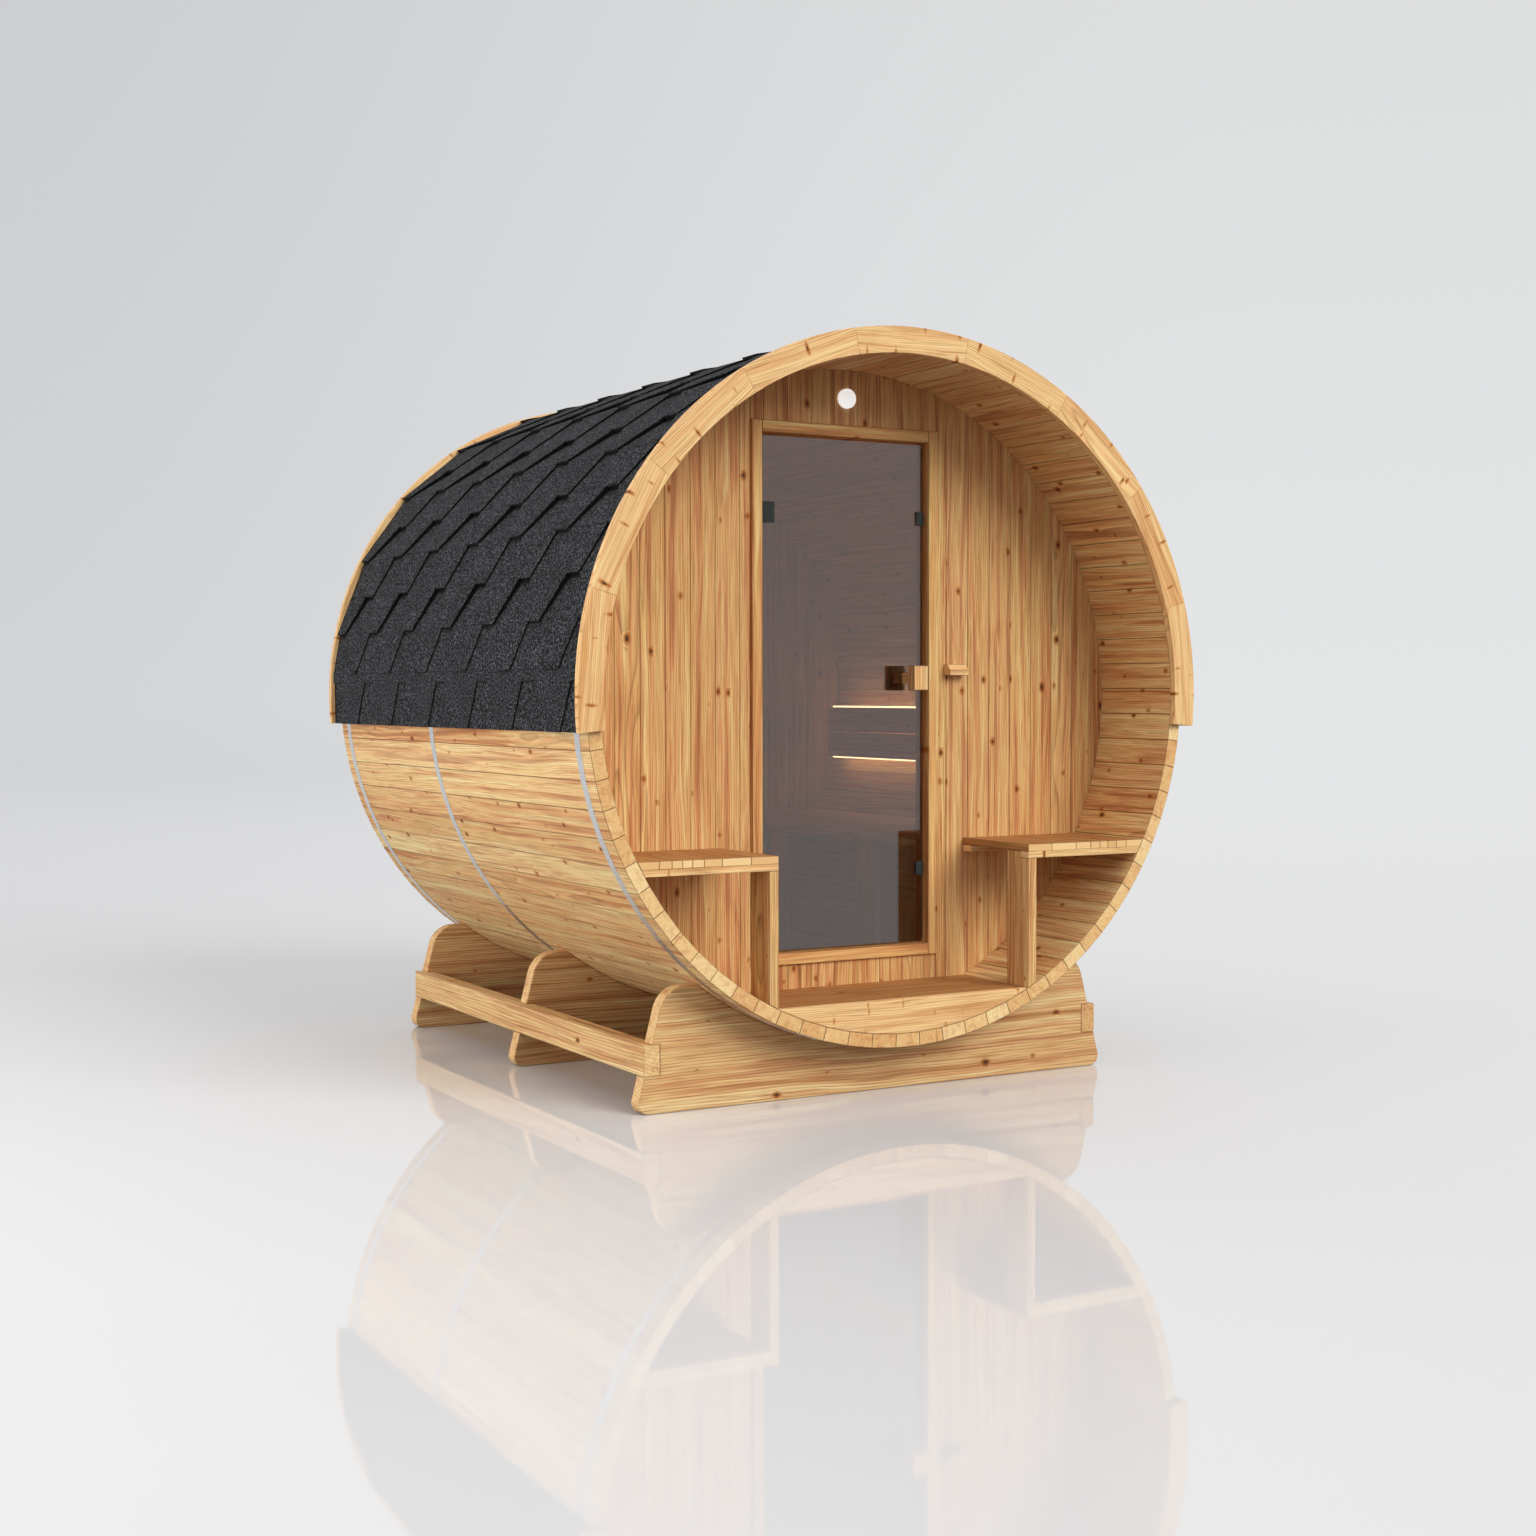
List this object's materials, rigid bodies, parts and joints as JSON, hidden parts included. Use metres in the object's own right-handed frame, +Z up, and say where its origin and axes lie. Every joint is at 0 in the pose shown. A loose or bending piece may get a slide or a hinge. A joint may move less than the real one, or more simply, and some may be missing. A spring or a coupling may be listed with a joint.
{
  "type": "barrel sauna",
  "caption": "Barrel-shaped timber sauna with an open porch, side seats, a hinged glass door, interior benches, a shingled roof and a cradle base.",
  "frame": {"origin": "middle of the underside of the cradle, on the ground under the middle of the barrel", "axes": "+Z up, +Y from the porch to the rear wall along the barrel, +X to the right seen from the porch"},
  "size_m": [2.0678, 2.044, 2.1758],
  "materials": {
    "pine_staves": "satin",
    "pine_boards": "satin",
    "pine_frame": "satin",
    "door_glass": "gloss",
    "pine_fittings": "satin",
    "dark_metal": "satin",
    "pine_seats": "satin",
    "light_strips": "matte",
    "asphalt_shingles": "matte",
    "pine_fascia": "satin",
    "steel_bands": "satin",
    "pine_cradle": "satin",
    "lamp_plastic": "gloss"
  },
  "bodies": {
    "root": {"shell_upper_left": "pine_staves", "shell_left": "pine_staves", "shell_lower_left": "pine_staves", "shell_bottom": "pine_staves", "shell_lower_right": "pine_staves", "shell_right": "pine_staves", "shell_upper_right": "pine_staves", "front_wall_left": "pine_boards", "front_wall_right": "pine_boards", "front_wall_over_door": "pine_boards", "front_wall_under_door": "pine_boards", "rear_wall": "pine_boards", "porch_floor": "pine_boards", "porch_floor_riser": "pine_boards", "cabin_floor": "pine_boards", "door_jamb_left": "pine_frame", "door_jamb_right": "pine_frame", "door_head": "pine_frame", "door_sill": "pine_frame", "hinge_brackets": "dark_metal", "porch_seat_left": "pine_seats", "porch_seat_right": "pine_seats", "porch_posts": "pine_seats", "bench_left": "pine_seats", "bench_right": "pine_seats", "bench_legs": "pine_seats", "backrest_left": "pine_seats", "backrest_right": "pine_seats", "light_strips": "light_strips", "roof_left": "asphalt_shingles", "roof_right": "asphalt_shingles", "front_fascia": "pine_fascia", "rear_fascia": "pine_fascia", "steel_bands": "steel_bands", "cradle_front_board": "pine_cradle", "cradle_middle_board": "pine_cradle", "cradle_rear_board": "pine_cradle", "cradle_rails": "pine_cradle", "porch_lamp": "lamp_plastic", "wall_peg": "pine_fittings"},
    "door": {"door_glass": "door_glass", "door_handles": "pine_fittings", "hinge_clamps": "dark_metal", "door_catches": "dark_metal"}
  },
  "joints": [
    {"name": "door_hinge", "type": "hinge", "parent": "root", "child": "door", "pos_m": [-0.282, -0.657, 1.142], "axis": [0, 0, -1], "range_deg": [0, 100]}
  ]
}
